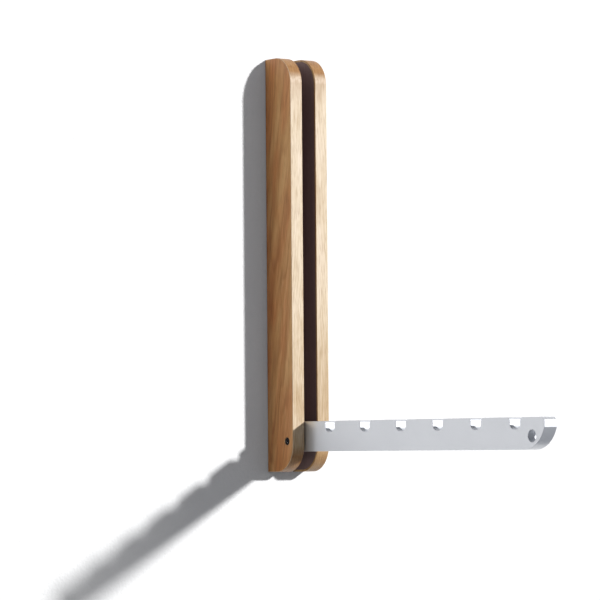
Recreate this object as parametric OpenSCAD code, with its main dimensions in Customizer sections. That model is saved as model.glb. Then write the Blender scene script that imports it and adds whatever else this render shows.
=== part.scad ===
// Fold-down wall hook for a coat rail: two oak cheeks on a dark metal chassis, with a notched
// aluminium arm that lies flush in the slot between them or folds down square to the wall.
// The wall plane is Y = 0, the front looks along -Y and +Z is up.
// The origin is the middle of the back face. The arm is drawn folded down, on its stop pin.

/* [Body] */
// Height of the body
body_h = 430; // [330:5:560]
// Depth of the body from the wall to the front
body_d = 45; // [38:0.5:60]
// Radius of the two front corners, seen from the side
corner_r = 28; // [20:0.5:30]
// Width of the slot between the cheeks
slot_w = 17; // [14:0.5:24]
// Thickness of each oak cheek
cheek_t = 14.5; // [10:0.5:24]
// Eased edge of the oak
cheek_arris = 0.6; // [0.4:0.1:2]
// Width of the bare oak lip in front of the chassis wall
lip = 2.2; // [1.2:0.1:4]

/* [Chassis] */
// Thickness of the chassis back web
web_t = 2.5; // [2:0.1:4]
// Thickness of the chassis side walls
wall_t = 1.5; // [1:0.1:3]
// Width of each ear that holds a cheek from behind
ear_w = 9; // [8:0.5:9.5]
// How far the ears stop short of the body's ends
ear_inset = 9; // [4:0.5:20]
// Fillet between web and wall, cut at 45 degrees
root_fillet = 1; // [0.4:0.1:1]
// Distance between the two wall screw holes
wall_hole_pitch = 270; // [180:5:290]
// Diameter of the wall screw holes
wall_hole_d = 5; // [4:0.5:6.5]

/* [Arm] */
// Thickness of the arm
arm_t = 15.5; // [12:0.5:16]
// Room between the wall and the arm's back edge when it is folded up
arm_room = 14; // [12:0.5:17]
// Eased edge of the aluminium
arm_arris = 0.3; // [0.2:0.1:1]
// Number of hanger notches
notch_count = 6; // [2:1:7]
// Distance from one notch to the next
notch_pitch = 60; // [40:1:64]
// Distance from the tip of the arm to the first notch's middle
notch_start = 44; // [40:1:60]
// Width of a notch between its upright walls
notch_w = 16; // [12:0.5:18]
// Depth of a notch
notch_depth = 11.5; // [8:0.5:12]
// Radius at the foot of a notch wall
notch_foot_r = 6; // [3:0.5:6]
// Radius where a notch opens to the top edge, and at the tip
mouth_r = 3; // [1:0.5:3]
// Diameter of the finger hole near the tip
finger_hole_d = 12; // [8:0.5:14]
// Distance of the finger hole from the tip
finger_hole_back = 18.5; // [16:0.5:24]
// Height of the finger hole above the arm's lower edge
finger_hole_up = 13; // [11:0.5:15]

/* [Pivot and stop] */
// Distance from the body's front face to the pivot
pivot_inset = 10.5; // [9:0.1:12]
// Flat of the heel that reaches past the stop pin's middle
heel_land = 0.5; // [0.2:0.1:0.6]
// Diameter of the pivot barrel
barrel_d = 6; // [5:0.5:7]
// Diameter of the barrel's head, on the right cheek
barrel_head_d = 8; // [7.5:0.1:9]
// Diameter of the pivot screw's head, on the left cheek
screw_head_d = 7.6; // [6:0.1:8]
// Height of both heads
head_h = 2.2; // [1.5:0.1:3]
// How far both heads lie below the oak
head_sink = 0.6; // [0.2:0.1:1.5]
// Diameter of the pivot screw's shank
screw_d = 4; // [3:0.5:4]
// Hexagon socket in the heads, across its flats
socket_af = 2.5; // [2:0.5:3]
// Wall of the bearing bush in the arm
bush_wall = 1; // [0.8:0.1:1.5]
// Diameter of the thrust washers
washer_d = 14; // [11:0.5:15]
// Diameter of the stop pin's sleeve
stop_d = 5; // [4.5:0.1:5.2]
// Wall of the stop pin's sleeve
sleeve_wall = 0.8; // [0.6:0.1:1]
// How far the stop pin reaches into each cheek
stop_seat = 5; // [3:0.5:8]

/* [Cheek screws] */
// Screws in each cheek
cheek_screw_count = 4; // [2:1:5]
// Diameter of a cheek screw
cheek_screw_d = 3; // [2.5:0.5:3.5]
// Length of a cheek screw with its head
cheek_screw_len = 18; // [14:1:20]
// Diameter of its countersunk head
cheek_screw_head_d = 5.8; // [5:0.1:6.2]
// Distance of the end screws from the body's ends
cheek_screw_inset = 24; // [16:1:40]

/* [Clearances] */
// Gap between pieces that are fitted together
fit = 0.1; // [0.05:0.05:0.2]
// Radial gap of a shaft in its hole
run_fit = 0.05; // [0.02:0.01:0.08]
// Gap between the heel's swing and the web
swing_gap = 0.5; // [0.3:0.1:0.8]
// Gap between the arm and its stop at each end of the swing
stop_gap = 0.3; // [0.3:0.1:0.4]

/* [Hidden] */

// Places that several pieces share
body_w = slot_w + 2 * cheek_t;
low_z = -body_h / 2;
slot_x = slot_w / 2;
pivot_y = pivot_inset - body_d;
// The heel fills its swing past the web, and folded up it is flush with the body's lower end
swing_r = body_d - pivot_inset - web_t - swing_gap;
pivot_z = low_z + swing_r;
// The arm's edges, counted from the pivot with the arm down
arm_h = body_d - arm_room;
arm_low = -pivot_inset;
arm_top = arm_low + arm_h;
tip_reach = body_h - swing_r;
tip_r = max(2 * arm_arris, min(mouth_r, arm_h - corner_r));
// The stop pin touches the heel when the arm is down, and the arm's top edge when it is up.
// The heel is cut down behind the pin's place only where its corner would foul the web.
stop_clear = stop_d / 2 + stop_gap;
heel_top = min(arm_top, sqrt(pow(swing_r, 2) - pow(arm_top + stop_clear + heel_land, 2)));
stop_y = pivot_y + arm_top + stop_clear;
stop_z = pivot_z + heel_top + stop_clear;
stop_pin_d = stop_d - 2 * sleeve_wall;
// Chassis
chassis_inset = lip;
chassis_h = body_h - 2 * chassis_inset;
chassis_w = slot_w + 2 * wall_t;
ear_x = chassis_w / 2 + ear_w;
ear_h = body_h - 2 * ear_inset;
// Pivot parts
bush_d = barrel_d + 2 * bush_wall;
side_gap = (slot_w - arm_t) / 2;
washer_t = side_gap - 2 * fit;
head_floor = cheek_t - head_sink - head_h;
barrel_end = body_w / 2 - head_sink - head_h - fit;
// Cheek screws
cheek_screw_x = chassis_w / 2 + ear_w / 2;
cheek_screw_step = (body_h - 2 * cheek_screw_inset) / (cheek_screw_count - 1);
cheek_screw_head_h = (cheek_screw_head_d - cheek_screw_d) / 2;
cheek_screw_point = cheek_screw_d;
// Cuts run past the faces that they open by this much
over = 1;
$fn = 64;

oak = [0.78, 0.62, 0.43];
dark_metal = [0.16, 0.13, 0.14];
bright_metal = [0.82, 0.84, 0.86];
steel = [0.62, 0.63, 0.65];
bronze = [0.62, 0.48, 0.28];
nylon = [0.20, 0.20, 0.21];

// Extrudes an outline drawn in Y and Z along X, from x0 to x1
module along_x(x0, x1) {
    translate([x0, 0, 0])
        rotate([90, 0, 90])
            linear_extrude(x1 - x0)
                children();
}

// A round bar along X, from x0 to x1, about the place y, z
module bar_x(d, x0, x1, y, z) {
    translate([x0, y, z])
        rotate([0, 90, 0])
            cylinder(d = d, h = x1 - x0);
}

// What a rounded corner takes off: the corner lies at the outline's origin, the stock in +X +Y
module corner_waste(r) {
    difference() {
        translate([-over, -over])
            square(r + over);
        translate([r, r])
            circle(r);
    }
}

// Side outline of the body, drawn in Y and Z, drawn in by inset at the front and both ends
module body_outline(inset, back = 0) {
    r = corner_r - inset;
    half = body_h / 2 - inset;
    front = body_d - inset;
    difference() {
        translate([-front, -half])
            square([front + back, 2 * half]);
        for (s = [-1, 1])
            scale([1, s])
                translate([-front, -half])
                    corner_waste(r);
    }
}

// The wedge that eases an edge of size c: the edge is the X axis, the stock lies in +Y +Z
module arris_prism(c, x0, x1) {
    along_x(x0, x1)
        polygon([[-over, -over], [c + over, -over], [-over, c + over]]);
}

// The same wedge bent round a corner of radius r about the X axis, a quarter turn from a0
module arris_bend(c, r, a0) {
    below = min(over, r - c);
    rotate([a0, 0, 0])
        rotate([90, 0, 90])
            rotate_extrude(angle = 90, $fn = 96)
                polygon([[r + over, -below], [r - c - below, -below], [r + over, c + over]]);
}

// Eases the outer edges of a plate with the body's outline, on its face at x = 0, stock in +X
module outline_arris(c) {
    half = body_h / 2;
    straight = half - corner_r;
    // long front edge
    translate([0, -body_d, -straight])
        rotate([0, -90, 0])
            mirror([0, 0, 1])
                arris_prism(c, 0, 2 * straight);
    for (s = [-1, 1])
        scale([1, 1, s]) {
            // end edge, from the corner to the back
            translate([0, over, half])
                rotate([0, 0, -90])
                    mirror([0, 0, 1])
                        arris_prism(c, 0, body_d - corner_r + over);
            // corner
            translate([0, -(body_d - corner_r), straight])
                arris_bend(c, corner_r, 90);
        }
}

// One oak cheek, drawn as the right one
module cheek() {
    inner = slot_x;
    outer = slot_x + cheek_t;
    difference() {
        along_x(inner, outer)
            body_outline(0);
        translate([inner, 0, 0])
            outline_arris(cheek_arris / 2);
        translate([outer, 0, 0])
            mirror([1, 0, 0])
                outline_arris(cheek_arris);
        // rebate for the chassis wall, with the lip left round it
        along_x(inner - over, inner + wall_t + fit)
            body_outline(chassis_inset - fit, over);
        // rebate for the ear
        translate([inner - over, -web_t - fit, -ear_h / 2 - fit])
            cube([ear_x + fit - inner + over, web_t + fit + over, ear_h + 2 * fit]);
        // pivot hole and the counterbore for its head
        bar_x(barrel_d + 2 * run_fit, inner, outer, pivot_y, pivot_z);
        bar_x(barrel_head_d + 2 * fit, inner + head_floor - fit, outer + over, pivot_y, pivot_z);
        // blind seat of the stop pin
        bar_x(stop_pin_d + 2 * run_fit, inner, inner + wall_t + stop_seat + fit, stop_y, stop_z);
        // pilot holes
        cheek_screw_places()
            rotate([90, 0, 0])
                cylinder(d = cheek_screw_d + 2 * run_fit, h = cheek_screw_len + fit, $fn = 32);
    }
}

// Puts its children at each screw of the right cheek, on the wall plane
module cheek_screw_places() {
    for (i = [0 : cheek_screw_count - 1])
        translate([cheek_screw_x, 0, low_z + cheek_screw_inset + i * cheek_screw_step])
            children();
}

module left_cheek() {
    color(oak)
        mirror([1, 0, 0])
            cheek();
}

module right_cheek() {
    color(oak)
        cheek();
}

// Right half of the chassis section seen along Z, from the wall round to the web's front
function chassis_half_section() =
    let (deep = body_d - chassis_inset, f = root_fillet)
    [[ear_x, 0], [ear_x, -web_t], [slot_x + wall_t, -web_t], [slot_x + wall_t, -deep],
        [slot_x, -deep], [slot_x, -web_t - f], [slot_x - f, -web_t]];

// The same points mirrored and turned round, so that both halves close one outline
function mirrored(points) = [for (i = [len(points) - 1 : -1 : 0]) [-points[i].x, points[i].y]];

// Extruded chassis: back web, two walls that line the slot, and an ear behind each cheek
module chassis() {
    color(dark_metal)
        difference() {
            intersection() {
                translate([0, 0, -chassis_h / 2])
                    linear_extrude(chassis_h)
                        polygon(concat(chassis_half_section(), mirrored(chassis_half_section())));
                along_x(-ear_x - over, ear_x + over)
                    body_outline(chassis_inset, over);
            }
            // the ears stop short of the ends
            for (sx = [-1, 1], sz = [-1, 1])
                scale([sx, 1, sz])
                    translate([chassis_w / 2, -web_t - over, ear_h / 2])
                        cube([ear_w + over, web_t + 2 * over, ear_inset + over]);
            // pivot and stop pin holes through both walls
            bar_x(barrel_d + 2 * run_fit, -chassis_w / 2 - over, chassis_w / 2 + over,
                pivot_y, pivot_z);
            bar_x(stop_pin_d + 2 * run_fit, -chassis_w / 2 - over, chassis_w / 2 + over,
                stop_y, stop_z);
            // wall screw holes
            for (s = [-1, 1])
                translate([0, over, s * wall_hole_pitch / 2])
                    rotate([90, 0, 0])
                        cylinder(d = wall_hole_d, h = web_t + 2 * over);
            // countersunk holes in the ears
            for (sx = [-1, 1])
                scale([sx, 1, 1])
                    cheek_screw_places()
                        rotate([90, 0, 0]) {
                            translate([0, 0, -over])
                                cylinder(d = cheek_screw_d + 2 * run_fit, h = web_t + 2 * over);
                            countersink();
                        }
        }
}

// The cone that a cheek screw's head needs, from the wall plane inwards
module countersink() {
    translate([0, 0, -over])
        cylinder(d1 = cheek_screw_head_d + 4 * fit + 2 * over, d2 = cheek_screw_d + 4 * fit,
            h = cheek_screw_head_h + over);
}

// Countersunk wood screws that hold one cheek from behind
module cheek_screws() {
    cheek_screw_places()
        rotate([90, 0, 0])
            translate([0, 0, fit]) {
                cylinder(d1 = cheek_screw_head_d, d2 = cheek_screw_d, h = cheek_screw_head_h, $fn = 32);
                cylinder(d = cheek_screw_d, h = cheek_screw_len - cheek_screw_point - fit, $fn = 32);
                translate([0, 0, cheek_screw_len - cheek_screw_point - fit])
                    cylinder(d1 = cheek_screw_d, d2 = 0, h = cheek_screw_point, $fn = 32);
            }
}

module left_cheek_screws() {
    color(steel)
        mirror([1, 0, 0])
            cheek_screws();
}

module right_cheek_screws() {
    color(steel)
        cheek_screws();
}

// The arm's side outline about the pivot, drawn in Y and Z, without the notches
module arm_outline() {
    difference() {
        intersection() {
            translate([-tip_reach, arm_low])
                square([tip_reach + swing_r, arm_h]);
            // the heel swings past the web, so behind the pivot it keeps inside this circle
            union() {
                circle(swing_r, $fn = 128);
                translate([-tip_reach - over, arm_low - over])
                    square([tip_reach + over, arm_h + 2 * over]);
            }
        }
        translate([-tip_reach, arm_low])
            corner_waste(corner_r);
        translate([swing_r, arm_low])
            scale([-1, 1])
                corner_waste(corner_r);
        translate([-tip_reach, arm_top])
            scale([1, -1])
                corner_waste(tip_r);
        if (heel_top < arm_top)
            translate([arm_top, heel_top])
                square([swing_r, arm_h]);
    }
}

// One notch, with its floor's middle at the origin: a round foot on each side, and a mouth
// that opens with a radius to the top edge
module notch() {
    half = notch_w / 2;
    for (s = [-1, 1])
        translate([s * (half - notch_foot_r), notch_foot_r])
            circle(notch_foot_r);
    translate([-(half - notch_foot_r), 0])
        square([notch_w - 2 * notch_foot_r, notch_depth + over]);
    translate([-half, notch_foot_r])
        square([notch_w, notch_depth - notch_foot_r + over]);
    for (s = [-1, 1])
        translate([s * half, notch_depth])
            scale([s, -1])
                corner_waste(mouth_r);
}

// Puts its children at the floor's middle of each notch, about the pivot
module notch_places() {
    for (i = [0 : notch_count - 1])
        translate([0, -tip_reach + notch_start + i * notch_pitch, arm_top - notch_depth])
            children();
}

// Eases a straight edge on the arm's face at x = 0. It starts at the place y, z and runs at the
// angle a in the YZ plane, with the stock on its left.
module edge_arris(y, z, a, run) {
    translate([0, y, z])
        rotate([a, 0, 0])
            rotate([0, 0, 90])
                mirror([0, 1, 0])
                    arris_prism(arm_arris, 0, run);
}

// Eases one notch on the arm's face at x = 0, drawn about the middle of its floor
module notch_arris() {
    half = notch_w / 2;
    foot = half - notch_foot_r;
    wall = notch_depth - mouth_r - notch_foot_r;
    edge_arris(foot, 0, 180, 2 * foot);
    edge_arris(half, notch_depth - mouth_r, 270, wall);
    edge_arris(-half, notch_foot_r, 90, wall);
    for (s = [-1, 1]) {
        translate([-over, s * foot, notch_foot_r])
            rotate([0, 90, 0])
                cylinder(r1 = notch_foot_r + arm_arris + over, r2 = notch_foot_r - over,
                    h = arm_arris + 2 * over);
        translate([0, s * (half + mouth_r), notch_depth - mouth_r])
            arris_bend(arm_arris, mouth_r, 45 + s * 45);
    }
}

// Eases the arm's whole outline on its face at x = 0
module arm_arris_cut() {
    tip_flat = arm_h - corner_r - tip_r;
    // lower edge, and the bends at its ends
    edge_arris(-tip_reach + corner_r, arm_low, 0, tip_reach + swing_r - 2 * corner_r);
    translate([0, -tip_reach + corner_r, arm_low + corner_r])
        arris_bend(arm_arris, corner_r, 180);
    translate([0, swing_r - corner_r, arm_low + corner_r])
        arris_bend(arm_arris, corner_r, 270);
    // heel, top edge and tip
    arris_bend(arm_arris, swing_r, 0);
    edge_arris(swing_r, arm_top, 180, tip_reach + swing_r - tip_r);
    translate([0, -tip_reach + tip_r, arm_top - tip_r])
        arris_bend(arm_arris, tip_r, 90);
    if (tip_flat > 0)
        edge_arris(-tip_reach, arm_top - tip_r, 270, tip_flat);
    notch_places()
        notch_arris();
}

module arm() {
    half = arm_t / 2;
    hole_y = -tip_reach + finger_hole_back;
    hole_z = arm_low + finger_hole_up;
    color(bright_metal)
        translate([0, pivot_y, pivot_z])
            difference() {
                along_x(-half, half)
                    arm_outline();
                notch_places()
                    along_x(-half - over, half + over)
                        notch();
                for (s = [-1, 1])
                    scale([s, 1, 1])
                        translate([-half, 0, 0])
                            arm_arris_cut();
                bar_x(bush_d + 2 * run_fit, -half - over, half + over, 0, 0);
                // finger hole, eased on both faces
                bar_x(finger_hole_d, -half - over, half + over, hole_y, hole_z);
                for (s = [-1, 1])
                    scale([s, 1, 1])
                        translate([half - arm_arris, hole_y, hole_z])
                            rotate([0, 90, 0])
                                cylinder(d1 = finger_hole_d, d2 = finger_hole_d + 2 * arm_arris + 2 * over,
                                    h = arm_arris + over);
            }
}

// Plain bearing bush, fixed in the arm and turning on the barrel
module pivot_bush() {
    color(bronze)
        difference() {
            bar_x(bush_d, -arm_t / 2, arm_t / 2, pivot_y, pivot_z);
            bar_x(barrel_d + 2 * run_fit, -arm_t / 2 - over, arm_t / 2 + over, pivot_y, pivot_z);
        }
}

// Hexagon socket, sunk from the face at x into a head that lies on its -X side
module hex_socket(x) {
    depth = head_h - socket_af / 4;
    translate([x - depth, pivot_y, pivot_z])
        rotate([0, 90, 0])
            cylinder(d = socket_af * 2 / sqrt(3), h = depth + over, $fn = 6);
}

// Sleeve nut: the shaft that the arm turns on, with its head on the right cheek
module pivot_barrel() {
    face = body_w / 2 - head_sink;
    color(dark_metal)
        difference() {
            union() {
                bar_x(barrel_d, -barrel_end, face, pivot_y, pivot_z);
                bar_x(barrel_head_d, face - head_h, face, pivot_y, pivot_z);
            }
            bar_x(screw_d + 2 * run_fit, -barrel_end - over, face - head_h - over, pivot_y, pivot_z);
            hex_socket(face);
        }
}

// Screw that draws the barrel tight, with its head on the left cheek
module pivot_screw() {
    face = body_w / 2 - head_sink;
    color(dark_metal)
        mirror([1, 0, 0])
            difference() {
                union() {
                    bar_x(screw_d, -slot_x, face, pivot_y, pivot_z);
                    bar_x(screw_head_d, face - head_h, face, pivot_y, pivot_z);
                }
                hex_socket(face);
            }
}

// Flat washer that keeps the arm off the chassis wall, drawn on the right
module thrust_washer() {
    color(bronze)
        difference() {
            bar_x(washer_d, slot_x - fit - washer_t, slot_x - fit, pivot_y, pivot_z);
            bar_x(barrel_d + 2 * run_fit, 0, slot_x + over, pivot_y, pivot_z);
        }
}

module left_thrust_washer() {
    mirror([1, 0, 0])
        thrust_washer();
}

module right_thrust_washer() {
    thrust_washer();
}

// Cross pin above the heel: the arm's top edge meets it when down, its back when up
module stop_pin() {
    reach = slot_x + wall_t + stop_seat;
    color(steel)
        bar_x(stop_pin_d, -reach, reach, stop_y, stop_z);
}

// Quiet sleeve on the stop pin
module stop_sleeve() {
    reach = slot_x - fit;
    color(nylon)
        difference() {
            bar_x(stop_d, -reach, reach, stop_y, stop_z);
            bar_x(stop_pin_d + 2 * run_fit, -slot_x, slot_x, stop_y, stop_z);
        }
}

left_cheek();
right_cheek();
chassis();
left_cheek_screws();
right_cheek_screws();
pivot_barrel();
pivot_screw();
left_thrust_washer();
right_thrust_washer();
stop_pin();
stop_sleeve();
arm();
pivot_bush();
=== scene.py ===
# %% [markdown]
# # A fold-down wall hook in oak and aluminium
#
# The hook is a slim upright body of two oak cheeks with a dark slot between them. A notched
# aluminium arm lies flush in the slot, or folds down square to the wall to carry clothes hangers.
# This lesson dresses the exact model of it: the sizes and the joint are already settled, so
# Blender's part is what the eye reads as wood, metal and light.
#
# The frame is the one of the exact model: the wall is the plane Y = 0, the front looks along -Y,
# +Z is up, and the origin is the middle of the back face. Blender counts in metres. The sizes of
# the hook are written in millimetres, and turned into metres where a mesh is made.

# %% Load the exact model
import math
import bpy
import numpy as np
from mathutils import Matrix, Vector
from mathutils.geometry import tessellate_polygon


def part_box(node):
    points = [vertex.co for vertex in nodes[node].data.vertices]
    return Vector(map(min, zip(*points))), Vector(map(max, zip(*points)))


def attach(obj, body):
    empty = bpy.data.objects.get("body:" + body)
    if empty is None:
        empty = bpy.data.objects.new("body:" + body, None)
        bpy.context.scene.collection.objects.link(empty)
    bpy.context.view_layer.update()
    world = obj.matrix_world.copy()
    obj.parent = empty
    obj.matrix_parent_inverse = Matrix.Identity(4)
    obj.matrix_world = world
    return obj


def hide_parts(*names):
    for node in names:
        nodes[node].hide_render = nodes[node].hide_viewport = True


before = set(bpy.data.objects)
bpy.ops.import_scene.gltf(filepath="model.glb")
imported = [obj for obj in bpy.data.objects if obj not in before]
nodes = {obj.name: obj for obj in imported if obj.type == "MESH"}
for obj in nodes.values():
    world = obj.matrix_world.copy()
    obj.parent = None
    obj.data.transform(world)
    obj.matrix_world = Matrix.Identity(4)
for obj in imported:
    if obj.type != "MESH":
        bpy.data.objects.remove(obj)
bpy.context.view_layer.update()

for name in sorted(nodes):
    low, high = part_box(name)
    print(name, "box in mm:", [round(1000 * v, 1) for v in (*low, *high)])

# %% [markdown]
# ## Helpers for colour and shader nodes
#
# A colour is picked on a screen as an sRGB hex value, but the renderer adds up light, which needs
# linear values. One function turns the first into the second. Another adds a shader node together
# with its settings and its links, so that each finish below reads as a short list. Two more begin
# and end a finish: each starts from the place of every point in millimetres, and ends in a
# roughness, a fine relief and a colour.

# %% Colour and node helpers
def linear(hex_colour):
    """sRGB hex to linear red, green, blue and alpha: values under 0.04045 are divided by 12.92,
    and the others are ((v + 0.055) / 1.055) to the power 2.4."""
    v = np.array([int(hex_colour[i:i + 2], 16) for i in (1, 3, 5)]) / 255
    rgb = np.where(v <= 0.04045, v / 12.92, ((v + 0.055) / 1.055) ** 2.4)
    return (*rgb.tolist(), 1.0)


def add_node(tree, kind, links=None, stops=None, **settings):
    """Adds the node ShaderNode plus kind. links maps an input to a value, to the output that feeds
    it, or to a node whose first output feeds it. stops are the places and hex colours of a ramp,
    and the other settings are the node's own."""
    node = tree.nodes.new("ShaderNode" + kind)
    for name, value in settings.items():
        setattr(node, name, value)
    for key, value in (links or {}).items():
        if isinstance(value, bpy.types.Node):
            value = value.outputs[0]
        if isinstance(value, bpy.types.NodeSocket):
            tree.links.new(value, node.inputs[key])
        else:
            node.inputs[key].default_value = value
    for i, (place, colour) in enumerate(stops or ()):
        ramp = node.color_ramp.elements
        stop = ramp[i] if i < 2 else ramp.new(place)
        stop.position, stop.color = place, linear(colour)
    return node


def start_material(name, **sockets):
    """A new material with one Principled shader, whose constant values are set on its sockets, and
    the place of each point in millimetres, from its Object coordinates."""
    material = bpy.data.materials.new(name)
    material.use_nodes = True
    tree = material.node_tree
    for key, value in sockets.items():
        tree.nodes["Principled BSDF"].inputs[key.replace("_", " ")].default_value = value
    place = add_node(tree, "TexCoord").outputs["Object"]
    in_mm = add_node(tree, "Mapping", {"Vector": place, "Scale": (1000, 1000, 1000)})
    return material, tree, in_mm


def looks_along(tree):
    """How much the surface looks along X, Y and Z, which the piece's mesh stores as facing."""
    facing = add_node(tree, "Attribute", attribute_name="facing").outputs["Vector"]
    return add_node(tree, "SeparateXYZ", {0: facing}).outputs


def link_shader(material, rough, height, relief_mm, strength, colour=None):
    """Feeds the shader its roughness, a bump of the given relief, and its colour, unless that is
    one constant value."""
    tree = material.node_tree
    bump = add_node(tree, "Bump", {"Height": height, "Distance": relief_mm / 1000, "Strength": strength})
    inputs = tree.nodes["Principled BSDF"].inputs
    tree.links.new(rough.outputs[0], inputs["Roughness"])
    tree.links.new(bump.outputs[0], inputs["Normal"])
    if colour:
        tree.links.new(colour, inputs["Base Color"])
    print(material.name, "has", len(tree.nodes), "nodes")


def dress(names, material):
    """Gives pieces of the exact model their finish."""
    for name in names:
        nodes[name].data.materials.clear()
        nodes[name].data.materials.append(material)
    print(material.name, "on", ", ".join(names))


print("white as linear light:", linear("#ffffff"))

# %% [markdown]
# ## The camera
#
# The camera stands to the left of the hook and looks at it through a long lens, so that the body's
# sides stay almost parallel. It is about as high as the arm, and the frame reaches further up than
# down: the camera looks up by two and a half degrees, which at this distance hardly bends the
# verticals, so that the lens needs no shift. The numbers below were fitted to the corners of the
# body and of the arm, and are good to about a pixel.

# %% Camera
VIEW_AZIMUTH, VIEW_TILT, VIEW_ROLL = (math.radians(v) for v in (35.333, 2.534, 0.434))
LENS_MM, DISTANCE, ASIDE, HEIGHT = 204.72, 3.56385, 0.01559, -0.19354
view_right = Vector((math.cos(VIEW_AZIMUTH), -math.sin(VIEW_AZIMUTH), 0))
level_forward = Vector((math.sin(VIEW_AZIMUTH), math.cos(VIEW_AZIMUTH), 0))
view_forward = level_forward * math.cos(VIEW_TILT) + Vector((0, 0, math.sin(VIEW_TILT)))
camera_data = bpy.data.cameras.new("camera")
camera_data.lens = LENS_MM
camera_data.clip_start, camera_data.clip_end = 0.1, 60
camera = bpy.data.objects.new("camera", camera_data)
bpy.context.scene.collection.objects.link(camera)
camera.location = -level_forward * DISTANCE + view_right * ASIDE + Vector((0, 0, HEIGHT))
camera.rotation_mode = "QUATERNION"
upright = view_forward.to_track_quat("-Z", "Y").to_matrix()
camera.rotation_quaternion = (Matrix.Rotation(VIEW_ROLL, 3, view_forward) @ upright).to_quaternion()
bpy.context.scene.camera = camera
print("camera at", [round(v, 3) for v in camera.location], "lens", LENS_MM, "mm")

# %% [markdown]
# ## Wall and floor
#
# The hook hangs on a plain white wall, and its shadow on that wall is half of what the picture
# shows. The wall and the floor are there only for rays that reach them from the front, and the
# wall is open behind the body, so that the hook can also be looked at from the back, by the light
# of the room behind it. Two small squares close it again behind the holes for the wall screws.
#
# Two things are true for the camera alone. It sees a pale floor, while the floor sends up only the
# light of a dimmer grey. And far to the left it sees a little of the white room through the wall's
# paint: painted light, which makes the arm's long shadow pale there.

# %% Paint
STIPPLES_PER_METRE = 330.0
# where on the wall the painted lightening of shadows begins, and where it is full
SHADOW_LIFT_FROM_X, SHADOW_LIFT_FULL_X = -0.11, -0.25


def one_sided_paint(name, colour, stipple_mm, dim=None, painted_shadow_lift=None):
    """Matt paint that isn't there for rays that reach it from behind. dim is its colour for all
    rays but the camera's. The last argument is painted light: how much of the white room the camera
    sees through the paint's far left, which makes a shadow there paler."""
    material = bpy.data.materials.new(name)
    material.use_nodes = True
    tree = material.node_tree
    tree.nodes.clear()
    place = add_node(tree, "TexCoord").outputs["Object"]
    seen = add_node(tree, "LightPath").outputs["Is Camera Ray"]
    # a paint roller leaves a stipple about 3 mm across
    stipple = add_node(tree, "TexNoise", {"Vector": place, "Scale": STIPPLES_PER_METRE, "Detail": 3.0})
    bump = add_node(tree, "Bump", {"Height": stipple, "Distance": stipple_mm / 1000})
    paint = add_node(tree, "BsdfDiffuse", {"Color": linear(colour), "Normal": bump})
    if dim:
        shade = add_node(tree, "Mix", {0: seen, 6: linear(dim), 7: linear(colour)}, data_type="RGBA")
        tree.links.new(shade.outputs[2], paint.inputs["Color"])
    side = add_node(tree, "NewGeometry").outputs["Backfacing"]
    if painted_shadow_lift:
        # painted light: far to the left the camera sees some of the white room through the paint, which
        # lightens the arm's long shadow there
        across = add_node(tree, "SeparateXYZ", {0: place}).outputs["X"]
        lift_share = add_node(tree, "MapRange", {0: across, 1: SHADOW_LIFT_FROM_X, 2: SHADOW_LIFT_FULL_X, 3: 0.0, 4: painted_shadow_lift})
        lift_share = add_node(tree, "Math", {0: lift_share, 1: seen}, operation="MULTIPLY")
        side = add_node(tree, "Math", {0: side, 1: lift_share}, operation="MAXIMUM")
    gone = add_node(tree, "BsdfTransparent")
    mix = add_node(tree, "MixShader", {0: side, 1: paint, 2: gone})
    add_node(tree, "OutputMaterial", {"Surface": mix})
    return material


# the wall's far left is painted lighter for the camera, so the arm's long shadow pales there
wall_paint = one_sided_paint("white_wall_paint", "#f8f8f8", 0.55, painted_shadow_lift=0.12)
floor_paint = one_sided_paint("pale_floor_paint", "#f0f0f0", 0.1, dim="#747474")
print("paints:", wall_paint.name, "and", floor_paint.name)

# %% Wall and floor
def flat_stage(name, corners, faces, material):
    """A flat piece of the studio, from its corner points and the numbers that join them."""
    mesh = bpy.data.meshes.new(name)
    mesh.from_pydata(corners, [], faces)
    mesh.materials.append(material)
    piece = bpy.data.objects.new(name, mesh)
    bpy.context.scene.collection.objects.link(piece)
    return piece


# the wall lies 0.4 mm behind the body's back, and the body hides the edges of the opening
WALL_Y, FLOOR_Z, REACH, TOP = 0.0004, -1.1, 6.0, 5.0
OPEN_X, OPEN_Z = 0.020, 0.209
# the holes for the wall screws, up and down from the middle, and half the width of their squares
SCREW_HOLE_Z, PATCH = 0.135, 0.003
low_hole, high_hole = ([z - PATCH, z + PATCH] for z in (-SCREW_HOLE_Z, SCREW_HOLE_Z))
wall_x = [-REACH, -OPEN_X, -PATCH, PATCH, OPEN_X, REACH]
wall_z = [FLOOR_Z, -OPEN_Z, *low_hole, *high_hole, OPEN_Z, TOP]
wall_points = [(x, WALL_Y, z) for z in wall_z for x in wall_x]
columns = len(wall_x)
# all cells along the outside, and in the middle column the two squares
wall_faces = [
    (r * columns + c, r * columns + c + 1, (r + 1) * columns + c + 1, (r + 1) * columns + c)
    for r in range(len(wall_z) - 1) for c in range(columns - 1)
    if r in (0, 6) or c in (0, 4) or (c == 2 and r in (2, 4))
]
wall = flat_stage("wall", wall_points, wall_faces, wall_paint)
floor_corners = [(-REACH, -REACH), (REACH, -REACH), (REACH, WALL_Y), (-REACH, WALL_Y)]
floor = flat_stage("floor", [(x, y, FLOOR_Z) for x, y in floor_corners], [(0, 1, 2, 3)], floor_paint)
floor.visible_glossy = False
print("the wall's front looks along", [round(v, 2) for v in wall.data.polygons[0].normal])

# %% [markdown]
# ## Light
#
# One sun with a width of 3.4 degrees stands for the studio lamp at the front right: near the body
# its shadow is crisp, and under the far end of the arm it is soft. The room itself gives a weak,
# even light, and the bright wall sends some more to the sides of the hook. The camera sees the
# room white. Glossy surfaces see it as a studio is: a dark ceiling, and a soft grey below.

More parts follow.
